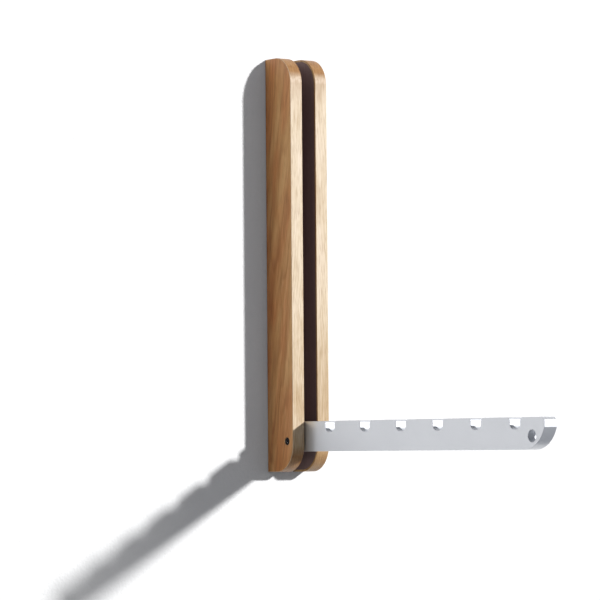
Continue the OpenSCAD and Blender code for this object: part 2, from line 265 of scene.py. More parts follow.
# %% Key light
KEY_DIRECTION = Vector((0.643, -1.0, 0.395)).normalized()
KEY_STRENGTH, KEY_WIDTH = 3.6, 3.4
key_data = bpy.data.lights.new("key", "SUN")
key_data.energy = KEY_STRENGTH
key_data.angle = math.radians(KEY_WIDTH)
key = bpy.data.objects.new("key", key_data)
key.rotation_mode = "QUATERNION"
key.rotation_quaternion = KEY_DIRECTION.to_track_quat("Z", "Y")
bpy.context.scene.collection.objects.link(key)
print("key light's height in degrees:", round(math.degrees(math.asin(KEY_DIRECTION.z)), 1))

# %% Room
FILL_STRENGTH, BELOW, CEILING = 0.32, 0.40, 0.22
room = bpy.data.worlds.new("room")
bpy.context.scene.world = room
room.use_nodes = True
tree = room.node_tree
tree.nodes.clear()
ray = add_node(tree, "LightPath").outputs
# the height of a ray's direction, from -1 straight down to 1 straight up
way = add_node(tree, "SeparateXYZ", {0: add_node(tree, "TexCoord").outputs["Generated"]}).outputs
glow = add_node(tree, "MapRange", {0: way["Z"], 1: -0.3, 2: 0.05, 3: BELOW, 4: CEILING},
                interpolation_type="SMOOTHSTEP")
fill = add_node(tree, "Background", {"Color": linear("#f4f6fc"), "Strength": FILL_STRENGTH})
gloss = add_node(tree, "Background", {"Color": linear("#f2f6ff"), "Strength": glow})
sight = add_node(tree, "Background", {"Color": linear("#ffffff"), "Strength": 1.0})
mix = add_node(tree, "MixShader", {0: ray["Is Glossy Ray"], 1: fill, 2: gloss})
mix = add_node(tree, "MixShader", {0: ray["Is Camera Ray"], 1: mix, 2: sight})
add_node(tree, "OutputWorld", {"Surface": mix})
bpy.context.scene.view_settings.view_transform = "Standard"
print("fill", FILL_STRENGTH, "against a key of", KEY_STRENGTH)

# %% [markdown]
# ## How the new pieces are made
#
# Every new piece is a set of patches. A patch is a grid of points worked out as whole arrays, or
# a flat cap, and each knows the outward direction at each of its points, so that a rounded edge
# shades softly and a sharp one stays sharp. The patches are then welded into one closed mesh.
# Edges are rounded as a hand would ease them: a quarter round carried along the outline.

# %% Patches and welding
class Patches(list):
    """The patches of one piece in millimetres: points, faces and outward directions of each."""

    def add(self, points, faces, outward):
        """Adds one patch. faces hold the numbers of its own points, three or four each, and are
        turned round where their winding looks against the outward directions."""
        points = np.asarray(points, float).reshape(-1, 3)
        outward = np.broadcast_to(np.asarray(outward, float), points.shape)
        faces = np.asarray(faces, int)
        a, b, c = (points[faces[:, i]] for i in range(3))
        across = np.cross(b - a, c - a)
        if faces.shape[1] == 4:
            across = np.cross(c - a, points[faces[:, 3]] - b)
        wrong = (across * outward[faces].sum(1)).sum(1) < 0
        self.append((points, np.where(wrong[:, None], faces[:, ::-1], faces), outward))

    def mirrored_x(self):
        """The same patches on the other side of the plane X = 0."""
        other, flip = Patches(), np.array([-1, 1, 1])
        for points, faces, outward in self:
            other.add(points * flip, faces, outward * flip)
        return other


def grid_faces(rows, columns, close_rows=False, close_columns=False):
    """The four corners of each cell of a grid whose points are numbered row by row."""
    r = np.arange(rows if close_rows else rows - 1)
    c = np.arange(columns if close_columns else columns - 1)
    r, c = (a.ravel() for a in np.meshgrid(r, c, indexing="ij"))
    r2, c2 = (r + 1) % rows, (c + 1) % columns
    return np.stack([r * columns + c, r2 * columns + c, r2 * columns + c2, r * columns + c2], axis=1)


def weld(name, patches, body, node, material, store_facing=True):
    """Makes one object of the patches, which stands for a node of the exact model. Points closer
    than a micrometre become one, and corners keep their own outward directions. The attribute
    facing stores how much each corner looks along X, Y and Z, for finishes that read it."""
    points = np.concatenate([p for p, _, _ in patches])
    outward = np.concatenate([o for _, _, o in patches])
    outward = outward / np.maximum(np.linalg.norm(outward, axis=1, keepdims=True), 1e-9)
    _, first, number = np.unique(np.round(points, 3), axis=0, return_index=True, return_inverse=True)
    number = number.reshape(-1)
    faces, corners, start = [], [], 0
    for patch_points, patch_faces, _ in patches:
        block = patch_faces + start
        start += len(patch_points)
        welded = number[block]
        whole = (welded != np.roll(welded, -1, axis=1)).all(1)
        faces += welded[whole].tolist()
        corners.append(block[whole].ravel())
    mesh = bpy.data.meshes.new(name)
    mesh.from_pydata((points[first] / 1000).tolist(), [], faces)
    mesh.materials.append(material)
    normals = outward[np.concatenate(corners)]
    mesh.polygons.foreach_set("use_smooth", np.ones(len(faces), bool))
    mesh.normals_split_custom_set(normals.tolist())
    if store_facing:
        stored = mesh.attributes.new("facing", "FLOAT_VECTOR", "CORNER")
        stored.data.foreach_set("vector", np.abs(normals).ravel().astype(np.float32))
    piece = bpy.data.objects.new(name, mesh)
    bpy.context.scene.collection.objects.link(piece)
    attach(piece, body)
    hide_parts(node)
    print(name, "has", len(faces), "faces and", len(first), "points")


# %% Outlines in the plane of the body's side
def arc(y, z, radius, start, end, steps, hollow=False):
    """Points of an arc about (y, z): centre plus radius times (cos t, sin t), with t from start to
    end in degrees. The outward direction is the same cosine and sine, turned round on a hollow arc,
    where the stock lies outside."""
    t = np.radians(np.linspace(start, end, steps + 1))
    ray = np.stack([np.cos(t), np.sin(t)], axis=1)
    return np.array([y, z]) + radius * ray, -ray if hollow else ray


def round_hole(y, z, radius, steps=48):
    """A closed circle whose outward directions look at its own middle."""
    points, outward = arc(y, z, radius, 0, 360, steps, hollow=True)
    return points[:-1], outward[:-1]


def join(*parts):
    """One outline from arcs in a row, with straight runs between them. A point that repeats the
    one before it is left out."""
    points = np.concatenate([p for p, _ in parts])
    outward = np.concatenate([o for _, o in parts])
    keep = np.linalg.norm(points - np.roll(points, 1, axis=0), axis=1) > 1e-4
    return points[keep], outward[keep]


def drawn_in(outline, inset):
    """The outline's points, moved in by inset."""
    return outline[0] - inset * outline[1]


print("an arc of radius 1 from 0 to 45 degrees ends at", arc(0, 0, 1.0, 0, 45, 8)[0][-1].round(3))

# %% Profiles along an outline, and flat caps
def quarter(x, side, ease, steps=4):
    """The eased edge of a face at x that looks along side, +1 or -1. Each row is x, the inset from
    the outline, and the outward direction's parts along the outline's own and along X. With t from
    0 to 90 degrees the inset is ease times (1 - cos t), and x stands back by ease times (1 - sin t)."""
    t = np.radians(np.linspace(0, 90, steps + 1))
    depth = side * ease * (1 - np.sin(t))
    return np.stack([x - depth, ease * (1 - np.cos(t)), np.cos(t), side * np.sin(t)], axis=1)


def carry(patches, outline, profile, closed=True):
    """Carries a profile along an outline: the point of row i and column j is the outline's point i,
    drawn in by the profile's inset j, at the profile's x."""
    (points, outward), profile = outline, np.asarray(profile, float)
    x, inset, along, aside = profile.T
    flat = points[:, None, :] - inset[None, :, None] * outward[:, None, :]
    grid = np.concatenate([np.broadcast_to(x[None, :, None], (*flat.shape[:2], 1)), flat], axis=2)
    out = np.concatenate([np.broadcast_to(aside[None, :, None], (*flat.shape[:2], 1)),
                          along[None, :, None] * outward[:, None, :]], axis=2)
    patches.add(grid, grid_faces(len(points), len(x), close_rows=closed), out.reshape(-1, 3))


def cap(patches, rings, plane_axis, level, outward):
    """A flat cap with holes. rings are closed lists of two-dimensional points, the outer one first,
    and level is where the plane lies on plane_axis."""
    loops = [np.insert(np.asarray(r, float), plane_axis, level, axis=1) for r in rings]
    triangles = tessellate_polygon([[Vector(p) for p in loop] for loop in loops])
    patches.add(np.concatenate(loops), triangles, outward)


print("an eased edge of 1 mm, as x and inset:", quarter(0, 1, 1.0, 2)[:, :2].round(2).tolist())

# %% [markdown]
# ## Sizes
#
# A few sizes drive the others, in the same way as in the exact model. The arm's heel reaches as
# far from the pivot as the web of the chassis allows, and the pivot stands as far above the body's
# lower end as the heel reaches. The stop pin lies just above the heel when the arm is down, and
# just behind it when the arm is up.

# %% Sizes of the body and of the pivot, in millimetres
BODY_H, BODY_D, SLOT_W, CHEEK_T, CORNER_R = 430.0, 45.0, 17.0, 14.5, 28.0
# the chassis: its walls, the web between them, the bare lip round it, and its ears
WALL_T, WEB_T, LIP, EAR_W, EAR_INSET = 1.5, 2.5, 2.2, 9.0, 9.0
# the pivot's distance from the front, the heel's gap to the web, and the room behind the bar
PIVOT_INSET, SWING_GAP, ARM_ROOM = 10.5, 0.5, 14.0
BARREL_R, BARREL_HEAD_R, SCREW_HEAD_R, HEAD_H, HEAD_SINK = 3.0, 4.0, 3.8, 2.2, 0.6
BUSH_R, STOP_R, STOP_PIN_R, STOP_GAP, STOP_SEAT = 4.0, 2.5, 1.7, 0.3, 5.0
# clearances of parts that stay put and of parts that turn
FIT, RUN_FIT = 0.1, 0.05

HALF_H, CHEEK_IN, CHEEK_OUT = BODY_H / 2, SLOT_W / 2, SLOT_W / 2 + CHEEK_T
REBATE_X, REBATE_INSET = CHEEK_IN + WALL_T + FIT, LIP - FIT
EAR_X, EAR_Y, EAR_Z = CHEEK_IN + WALL_T + EAR_W + FIT, -(WEB_T + FIT), HALF_H - EAR_INSET + FIT
HEEL_R = BODY_D - PIVOT_INSET - WEB_T - SWING_GAP
PIVOT = PIVOT_Y, PIVOT_Z = PIVOT_INSET - BODY_D, HEEL_R - HALF_H
ARM_LOW, ARM_TOP = -PIVOT_INSET, BODY_D - ARM_ROOM - PIVOT_INSET
STOP_AWAY = ARM_TOP + STOP_R + STOP_GAP
HEAD_X = CHEEK_OUT - HEAD_SINK
HEAD_BACK = HEAD_X - HEAD_H
SINK_X = HEAD_BACK - FIT
named_sizes = {"right_cheek": (CHEEK_T, BODY_D, BODY_H),
               "pivot_barrel": (SINK_X + HEAD_X, 2 * BARREL_HEAD_R, 2 * BARREL_HEAD_R)}
for name, size in named_sizes.items():
    low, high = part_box(name)
    print(name, "is", [round(1000 * (b - a), 2) for a, b in zip(low, high)], "mm in the exact model,")
    print("    and from the named sizes", np.round(size, 2).tolist())

# %% [markdown]
# ## The oak cheeks
#
# Each cheek is a board 14.5 mm thick with two corners rounded to 28 mm. Its edge is carried along
# the outline as a profile: the outer face's eased edge, the front, a finer edge at the slot, and
# the bare lip that hides the dark wall inside. The flat faces are caps with holes for the pivot's
# head. A copy of the exact solid with bevels would do, but the profile gives even, soft edges and
# lets each corner say which way it looks, which the wood finish needs.

# %% Shape of a cheek
OUTER_EASE, INNER_EASE, SINK_EASE = 0.6, 0.35, 0.2


def cheek_outline():
    """The cheek's outline from the wall over the top, down the front and back to the wall."""
    middle = CORNER_R - BODY_D
    flat_end = (np.array([[0.0, HALF_H]]), np.array([[0.0, 1.0]]))
    low_end = (np.array([[0.0, -HALF_H]]), np.array([[0.0, -1.0]]))
    return join(flat_end, arc(middle, HALF_H - CORNER_R, CORNER_R, 90, 180, 28),
                arc(middle, CORNER_R - HALF_H, CORNER_R, 180, 270, 28), low_end)


def right_cheek_patches():
    """The right cheek: profiles of (x, inset) carried along its outline, and flat caps with the
    outlines of its recesses as holes."""
    patches, outline = Patches(), cheek_outline()
    edge = np.concatenate([quarter(CHEEK_OUT, 1, OUTER_EASE)[::-1], quarter(CHEEK_IN, -1, INNER_EASE)])
    carry(patches, outline, edge, closed=False)
    lip = [(CHEEK_IN, INNER_EASE, 0, -1), (CHEEK_IN, REBATE_INSET, 0, -1)]
    carry(patches, outline, lip, closed=False)
    step = [(CHEEK_IN, REBATE_INSET, -1, 0), (REBATE_X, REBATE_INSET, -1, 0)]
    carry(patches, outline, step, closed=False)
    # outer face, with the recess for the pivot's head
    sink = round_hole(*PIVOT, BARREL_HEAD_R + FIT)
    cap(patches, [drawn_in(outline, OUTER_EASE), drawn_in(sink, SINK_EASE)], 0, CHEEK_OUT, (1, 0, 0))
    carry(patches, sink, np.concatenate([quarter(CHEEK_OUT, 1, SINK_EASE, 2)[::-1], [(SINK_X, 0, 1, 0)]]))
    bore = round_hole(*PIVOT, BARREL_R + RUN_FIT)
    cap(patches, [sink[0], bore[0]], 0, SINK_X, (1, 0, 0))
    carry(patches, bore, [(SINK_X, 0, 1, 0), (REBATE_X, 0, 1, 0)])
    # rebate for the dark wall, with the blind seat of the stop pin
    seat = round_hole(PIVOT_Y + STOP_AWAY, PIVOT_Z + STOP_AWAY, STOP_PIN_R + RUN_FIT, 32)
    seat_end = REBATE_X + STOP_SEAT
    notch = np.array([[0, -EAR_Z], [EAR_Y, -EAR_Z], [EAR_Y, EAR_Z], [0, EAR_Z]])
    inner = np.concatenate([drawn_in(outline, REBATE_INSET), notch])
    cap(patches, [inner, bore[0], seat[0]], 0, REBATE_X, (-1, 0, 0))
    carry(patches, seat, [(REBATE_X, 0, 1, 0), (seat_end, 0, 1, 0)])
    cap(patches, [seat[0]], 0, seat_end, (-1, 0, 0))
    # back face on the wall, and the rebate for the ear
    chain = np.concatenate([edge[:, :2], [(CHEEK_IN, REBATE_INSET), (REBATE_X, REBATE_INSET)]])
    over = np.stack([chain[:, 0], HALF_H - chain[:, 1]], axis=1)
    recess = np.array([[REBATE_X, EAR_Z], [EAR_X, EAR_Z], [EAR_X, -EAR_Z], [REBATE_X, -EAR_Z]])
    under = np.stack([chain[::-1, 0], chain[::-1, 1] - HALF_H], axis=1)
    cap(patches, [np.concatenate([over, recess, under])], 1, 0.0, (0, 1, 0))
    cap(patches, [recess], 1, EAR_Y, (0, 1, 0))
    for z, way in ((EAR_Z, -1), (-EAR_Z, 1)):
        end = [(REBATE_X, 0, z), (EAR_X, 0, z), (EAR_X, EAR_Y, z), (REBATE_X, EAR_Y, z)]
        patches.add(end, [[0, 1, 2, 3]], (0, 0, way))
    side = [(EAR_X, 0, EAR_Z), (EAR_X, 0, -EAR_Z), (EAR_X, EAR_Y, -EAR_Z), (EAR_X, EAR_Y, EAR_Z)]
    patches.add(side, [[0, 1, 2, 3]], (-1, 0, 0))
    return patches


right_patches = right_cheek_patches()
print("the right cheek has", len(right_patches), "patches")

# %% [markdown]
# ## Oiled oak
#
# Oak is ring-porous: each year starts with a band of open pores and ends in dense, darker wood.
# Planed, sanded and oiled, it is matt to satin, a little rough where the pores lie, and warm
# brown. A solid pattern is the honest way to draw it: rings about a trunk that lies beside the
# board, so that the outer faces show wide, leaning bands, the front edges show close lines, and
# both agree where they meet. The front edges are the pale outer wood of the board.
# The left cheek's face, which lies in shade here, is also painted shade: its colour is darker, more
# saturated and redder than the lit front's, and its lower end takes the dark end grain colour.

# %% Patterns in the oak
RING_MM, WANDER_MM = 2.6, 16


def oak_patterns(tree, in_mm, lean):
    """The patterns of the wood by name. Streaks and heartwood lean by so many degrees."""
    leaning = add_node(tree, "Mapping", {"Vector": in_mm, "Rotation": (math.radians(lean), 0, 0)})
    # each pattern's size along X, Y and Z in mm: slow bends of the rings, streaks of tone, zones of
    # heartwood, pores, fibres. Pores are 0.3 mm wide, drawn 0.7 mm wide so that they show from a
    # step away. Fibres are a few tenths of a millimetre wide: their pattern starts at 1.6 mm, and
    # its finer octaves are as fine as that
    grain = {}
    for key, place, size, settings in (
        ("wander", in_mm, (30, 30, 150), {"Detail": 2.0}),
        ("streak", leaning, (9, 7, 110), {"Detail": 4.0, "Roughness": 0.6, "Distortion": 0.5}),
        ("heart", leaning, (40, 25, 120), {"Detail": 3.0, "Distortion": 0.6}),
        ("pore", in_mm, (0.7, 0.7, 12), {"Detail": 2.0}),
        ("fibre", in_mm, (1.6, 1.6, 60), {"Detail": 4.0}),
    ):
        scaled = add_node(tree, "Mapping", {"Vector": place, "Scale": [1 / s for s in size]})
        grain[key] = add_node(tree, "TexNoise", {"Vector": scaled, "Scale": 1.0, **settings})
    # these three are spread from a narrow band of the noise to the whole range from 0 to 1
    for key, low, high in (("streak", 0.32, 0.68), ("heart", 0.40, 0.60), ("pore", 0.53, 0.72)):
        grain[key] = add_node(tree, "MapRange", {0: grain[key], 1: low, 2: high})
    return grain


def growth_rings(tree, in_mm, wander, trunk, trunk_lean):
    """Dark late wood and pale early wood. The distance from the trunk's axis, bent by wander, is
    divided by the width of a ring, and the fraction of that is the time of year."""
    turn = (math.radians(trunk_lean[0]), math.radians(trunk_lean[1]), 0)
    across = add_node(tree, "Mapping", {"Vector": in_mm, "Location": (*trunk, 0), "Rotation": turn})
    bend = wander.outputs["Color"]
    for step, values in (("SUBTRACT", (0.5, 0.5, 0.5)), ("MULTIPLY", (WANDER_MM, WANDER_MM, 0)),
                         ("ADD", across.outputs[0]), ("MULTIPLY", (1, 1, 0))):
        bend = add_node(tree, "VectorMath", {0: bend, 1: values}, operation=step)
    distance = add_node(tree, "VectorMath", {0: bend}, operation="LENGTH").outputs["Value"]
    years = add_node(tree, "Math", {0: distance, 1: 1 / RING_MM}, operation="MULTIPLY")
    year = add_node(tree, "Math", {0: years}, operation="FRACT")
    return add_node(tree, "ValToRGB", {0: year}, stops=[
        (0.0, "#c0c0c0"), (0.12, "#303030"), (0.6, "#6a6a6a"), (0.9, "#d0d0d0"), (1.0, "#c0c0c0")])


# %% Colours of the oak
def oak_face(tree, tone, heart, spot, heartwood, face_hexes):
    """The outer face. In heartwood green and blue fall more than red, and there is more of it
    towards the wall."""
    near_wall = add_node(tree, "MapRange", {0: spot["Y"], 1: -30.0, 2: -4.0, 3: 0.0, 4: 0.4},
                         interpolation_type="SMOOTHSTEP")
    red = add_node(tree, "Math", {0: heart, 1: 0.75, 2: near_wall}, operation="MULTIPLY_ADD", use_clamp=True)
    red = add_node(tree, "Math", {0: red, 1: heartwood}, operation="MULTIPLY")
    wood = add_node(tree, "ValToRGB", {0: tone}, stops=list(zip((0.2, 0.5, 0.9), face_hexes)))
    return add_node(tree, "Mix", {0: red, 6: wood, 7: linear("#f8d8c6")},
                    data_type="RGBA", blend_type="MULTIPLY").outputs[2]


def oak_front(tree, tone, spot, golden):
    """The pale front edge. Its lower part is darker and more golden."""
    gold = add_node(tree, "MapRange", {0: spot["Z"], 1: -30.0, 2: -150.0, 3: 0.0, 4: golden},
                    interpolation_type="SMOOTHSTEP")
    tone = add_node(tree, "Math", {0: tone, 1: gold}, operation="ADD")
    stops = [(0.2, "#e5d2ba"), (0.5, "#dcc8aa"), (0.95, "#bfa27a")]
    return add_node(tree, "ValToRGB", {0: tone}, stops=stops).outputs[0]


def oak_end_share(tree, looks, spot, side, lower_end_and_shade):
    """How much of the end grain's colour shows: most at the upper end, which drank more oil. The oil
    also creeps down the front from there, for some 35 mm. Towards the lower end the share falls to
    a given value, which on the left cheek stays full, as painted shade on its lower arc."""
    end = add_node(tree, "MapRange", {0: looks["Z"], 1: 0.02, 2: 0.44})
    upper = add_node(tree, "MapRange", {0: spot["Z"], 1: -HALF_H, 2: HALF_H, 3: lower_end_and_shade, 4: 1.0})
    end = add_node(tree, "Math", {0: end, 1: upper}, operation="MULTIPLY")
    creep = add_node(tree, "MapRange", {0: spot["Z"], 1: 160.0, 2: 198.0, 3: 0.0, 4: 0.5},
                     interpolation_type="SMOOTHSTEP")
    front = add_node(tree, "Math", {0: 1.0, 1: side}, operation="SUBTRACT")
    creep = add_node(tree, "Math", {0: creep, 1: front}, operation="MULTIPLY")
    return add_node(tree, "Math", {0: end, 1: creep}, operation="MAXIMUM")


def oak_edge_highlight(tree, looks, spot):
    """How much of a painted highlight shows along the eased edges, and its colour: a pale line where
    the edges catch light, and on the finer edges at the slot, within 10 mm of the middle, a more
    golden one for the light they catch there."""
    rim = add_node(tree, "Math", {0: looks["X"], 1: 0.6, 2: 0.35}, operation="COMPARE")
    fade = add_node(tree, "MapRange", {0: looks["Z"], 1: 0.45, 2: 0.75, 3: 0.75, 4: 0.1})
    rim = add_node(tree, "Math", {0: rim, 1: fade}, operation="MULTIPLY")
    inner = add_node(tree, "Math", {0: spot["X"], 1: 0.0, 2: 10.0}, operation="COMPARE")
    wood = add_node(tree, "Mix", {0: inner, 6: linear("#e6d0ae"), 7: linear("#e8b87a")}, data_type="RGBA")
    return rim, wood.outputs[2]


# %% Oak finish
def oiled_oak(name, trunk, trunk_lean, lean, golden, heartwood, lower_end_and_shade, face_hexes):
    """Oak cut beside a trunk at (x, y) in mm. The trunk's axis leans from the board's length by
    trunk_lean, and the grain on the faces by lean, in degrees. golden and heartwood say how yellow
    its lower front and how red its zones are, the next argument how much end grain colour the lower
    end takes, which on the left cheek is painted shade, and face_hexes are the face's colours, pale
    to dark."""
    material, tree, in_mm = start_material(name, IOR=1.47)
    looks = looks_along(tree)
    spot = add_node(tree, "SeparateXYZ", {0: in_mm}).outputs
    grain = oak_patterns(tree, in_mm, lean)
    rings = growth_rings(tree, in_mm, grain["wander"], trunk, trunk_lean)
    # the tone, pale to dark, adds up the rings, the streaks and the fibres
    tone = 0.0
    for part, share in ((rings, 0.32), (grain["streak"], 0.40), (grain["fibre"], 0.42)):
        tone = add_node(tree, "Math", {0: part, 1: share, 2: tone}, operation="MULTIPLY_ADD")
    # the faces take their own colour, which on the left cheek is partly painted shade: darker and more
    # saturated than the lit front
    side = add_node(tree, "MapRange", {0: looks["X"], 1: 0.35, 2: 0.95})
    end_wood = add_node(tree, "ValToRGB", {0: tone}, stops=[(0.25, "#b08453"), (0.8, "#8c5e32")])
    pores = add_node(tree, "Math", {0: grain["pore"], 1: 0.35}, operation="MULTIPLY")
    # the light that the oak sends on to the wall loses most of its colour, as it does when a product
    # picture is retouched: the shadow beside the oak stays a neutral grey
    sent = add_node(tree, "LightPath").outputs["Is Diffuse Ray"]
    sent = add_node(tree, "Math", {0: sent, 1: 0.8}, operation="MULTIPLY")
    wood = oak_front(tree, tone, spot, golden)
    for share, layer in (
        (side, oak_face(tree, tone, grain["heart"], spot, heartwood, face_hexes)),
        (oak_end_share(tree, looks, spot, side, lower_end_and_shade), end_wood.outputs[0]),
        # painted highlight along the eased edges
        oak_edge_highlight(tree, looks, spot),
        (pores, linear("#8a5c33")),
        (sent, linear("#8e8e8e")),
    ):
        wood = add_node(tree, "Mix", {0: share, 6: wood, 7: layer}, data_type="RGBA").outputs[2]
    rough = add_node(tree, "MapRange", {0: grain["pore"], 3: 0.46, 4: 0.68})
    relief = add_node(tree, "Math", {0: grain["fibre"], 1: 0.5}, operation="MULTIPLY")
    relief = add_node(tree, "Math", {0: relief, 1: grain["pore"]}, operation="SUBTRACT")
    link_shader(material, rough, relief, 0.06, 0.6, wood)
    return material


# %% Make the cheeks
oak_right = oiled_oak("oiled_oak_right", trunk=(62, 12), trunk_lean=(2.2, 1.1), lean=-5, golden=0.50,
                      heartwood=0.45, lower_end_and_shade=0.65, face_hexes=("#dab885", "#caa46f", "#a87f4c"))
# the left cheek's face colours and full heartwood are partly painted shade, for a face that lies in shade,
# and its full end grain colour at the lower end is painted shade on the lower arc
oak_left = oiled_oak("oiled_oak_left", trunk=(78, 20), trunk_lean=(-4.5, -1.0), lean=-12, golden=0.28,
                     heartwood=1.0, lower_end_and_shade=1.0, face_hexes=("#d9aa6f", "#c8955a", "#a46d3a"))
weld("right_cheek_oak", right_patches, "body", "right_cheek", oak_right)
weld("left_cheek_oak", right_patches.mirrored_x(), "body", "left_cheek", oak_left)

# %% [markdown]
# ## The arm
#
# The arm is cut from flat aluminium bar, 15.5 by 31 mm. Its side outline holds all of its
# character: the tip with its chamfer, flat end and long arc, six notches with round feet and round
# mouths, and the heel inside the slot. The outline is drawn once as a chain of arcs, and a profile
# with two eased edges is carried round it. Cutting notches with booleans would leave hard, uneven
# edges.

# %% Arm sizes, in millimetres from the pivot
ARM_HALF, ARM_EASE, TIP_Y = 7.75, 0.35, HEEL_R - BODY_H
NOTCHES, NOTCH_PITCH, FIRST_NOTCH = 6, 60.0, 44.0
NOTCH_W, NOTCH_DEPTH, FOOT_R, MOUTH_R = 16.0, 11.5, 6.0, 3.0
# the tip: a chamfer on its upper corner, with slightly rounded edges, then a flat end face down to
# a crease, and an arc from there into the lower edge
CHAMFER_RUN, CHAMFER_DROP, CHAMFER_EASE = 3.4, 2.7, 0.4
CREASE_Z, CREASE_EASE, TIP_R = 10.7, 0.15, 32.0
# the finger hole, and its place in the frame
HOLE_R, HOLE_FROM_TIP, HOLE_FROM_LOW = 6.0, 18.5, 13.0
HOLE_Y, HOLE_Z = PIVOT_Y + TIP_Y + HOLE_FROM_TIP, PIVOT_Z + ARM_LOW + HOLE_FROM_LOW
notch_middles = TIP_Y + FIRST_NOTCH + NOTCH_PITCH * np.arange(NOTCHES)
print("the notches lie", (-notch_middles).tolist(), "mm out from the pivot")


# %% Shape of the arm
def notch_arcs(middle):
    """One notch from its wall side to its tip side: mouth, foot, foot, mouth."""
    half, floor_z = NOTCH_W / 2, ARM_TOP - NOTCH_DEPTH
    foot = half - FOOT_R
    return [
        arc(middle + half + MOUTH_R, ARM_TOP - MOUTH_R, MOUTH_R, 90, 180, 6),
        arc(middle + foot, floor_z + FOOT_R, FOOT_R, 0, -90, 8, hollow=True),
        arc(middle - foot, floor_z + FOOT_R, FOOT_R, -90, -180, 8, hollow=True),
        arc(middle - half - MOUTH_R, ARM_TOP - MOUTH_R, MOUTH_R, 0, 90, 6),
    ]


def heel_arcs():
    """The heel is a corner circle and a circle about the pivot, with their middles d apart: they
    meet at (r1^2 - r2^2 + d^2) / 2d along the line between the middles."""
    heel_y, bend_z = HEEL_R - CORNER_R, ARM_LOW + CORNER_R
    apart = math.hypot(heel_y, bend_z)
    along = (HEEL_R ** 2 - CORNER_R ** 2 + apart ** 2) / (2 * apart)
    aside = math.sqrt(HEEL_R ** 2 - along ** 2)
    meet_y, meet_z = (along * heel_y + aside * bend_z) / apart, (along * bend_z - aside * heel_y) / apart
    heel_end = 360 + math.degrees(math.asin((meet_z - bend_z) / CORNER_R))
    meet_angle = math.degrees(math.atan2(meet_z, meet_y))
    top_angle = math.degrees(math.asin(ARM_TOP / HEEL_R))
    return [arc(heel_y, bend_z, CORNER_R, 270, heel_end, 20), arc(0, 0, HEEL_R, meet_angle, top_angle, 8)]


def arm_outline():
    """The arm's side outline: tip, lower edge, heel, and the top edge with its notches. The tip's
    arc touches the lower edge and passes through the crease at height h above it, so its middle
    lies the square root of 2 h radius - h^2 inwards of the tip."""
    high = CREASE_Z - ARM_LOW
    tip_middle = TIP_Y + math.sqrt(2 * high * TIP_R - high ** 2)
    tip_start = 180 + math.degrees(math.asin(1 - high / TIP_R))
    parts = [arc(tip_middle, ARM_LOW + TIP_R, TIP_R, tip_start, 270, 28), *heel_arcs()]
    for middle in notch_middles[::-1]:
        parts += notch_arcs(middle)
    slant = math.degrees(math.atan2(CHAMFER_DROP, CHAMFER_RUN))
    upper = CHAMFER_EASE * math.tan(math.radians(slant / 2))
    lower = CHAMFER_EASE * math.tan(math.radians(45 - slant / 2))
    top, front = TIP_Y + CHAMFER_RUN + upper, ARM_TOP - CHAMFER_DROP - lower
    parts.append(arc(top, ARM_TOP - CHAMFER_EASE, CHAMFER_EASE, 90, 90 + slant, 3))
    parts.append(arc(TIP_Y + CHAMFER_EASE, front, CHAMFER_EASE, 90 + slant, 180, 4))
    parts.append((np.array([[TIP_Y, CREASE_Z + CREASE_EASE]]), np.array([[-1.0, 0.0]])))
    points, outward = join(*parts)
    return points + np.array(PIVOT), outward


def arm_patches():
    """The bar: one profile with two eased edges, carried round its outline and its finger hole, a
    straight bore for the bush, and two flat sides."""
    patches, outline = Patches(), arm_outline()
    rim = np.concatenate([quarter(ARM_HALF, 1, ARM_EASE)[::-1], quarter(-ARM_HALF, -1, ARM_EASE)])
    bush_hole = round_hole(*PIVOT, BUSH_R + RUN_FIT)
    finger_hole = round_hole(HOLE_Y, HOLE_Z, HOLE_R, 64)
    carry(patches, outline, rim)
    carry(patches, finger_hole, rim)
    carry(patches, bush_hole, [(ARM_HALF, 0, 1, 0), (-ARM_HALF, 0, 1, 0)])
    for side in (1, -1):
        rings = [drawn_in(outline, ARM_EASE), drawn_in(finger_hole, ARM_EASE), bush_hole[0]]
        cap(patches, rings, 0, side * ARM_HALF, (side, 0, 0))
    return patches


print("the arm's outline has", len(arm_outline()[0]), "points")

# %% [markdown]
# ## Satin anodised aluminium
#
# Extruded bar is cut, blasted fine and anodised in its natural colour. The eye gets a soft, even
# grey that picks up the white wall, without a mirror image in it, and only very faint draw lines
# along the bar. The milled edges are a little smoother than the drawn sides. The notches, which
# the steel hooks of hangers scuff, and the drilled wall of the finger hole are the roughest.

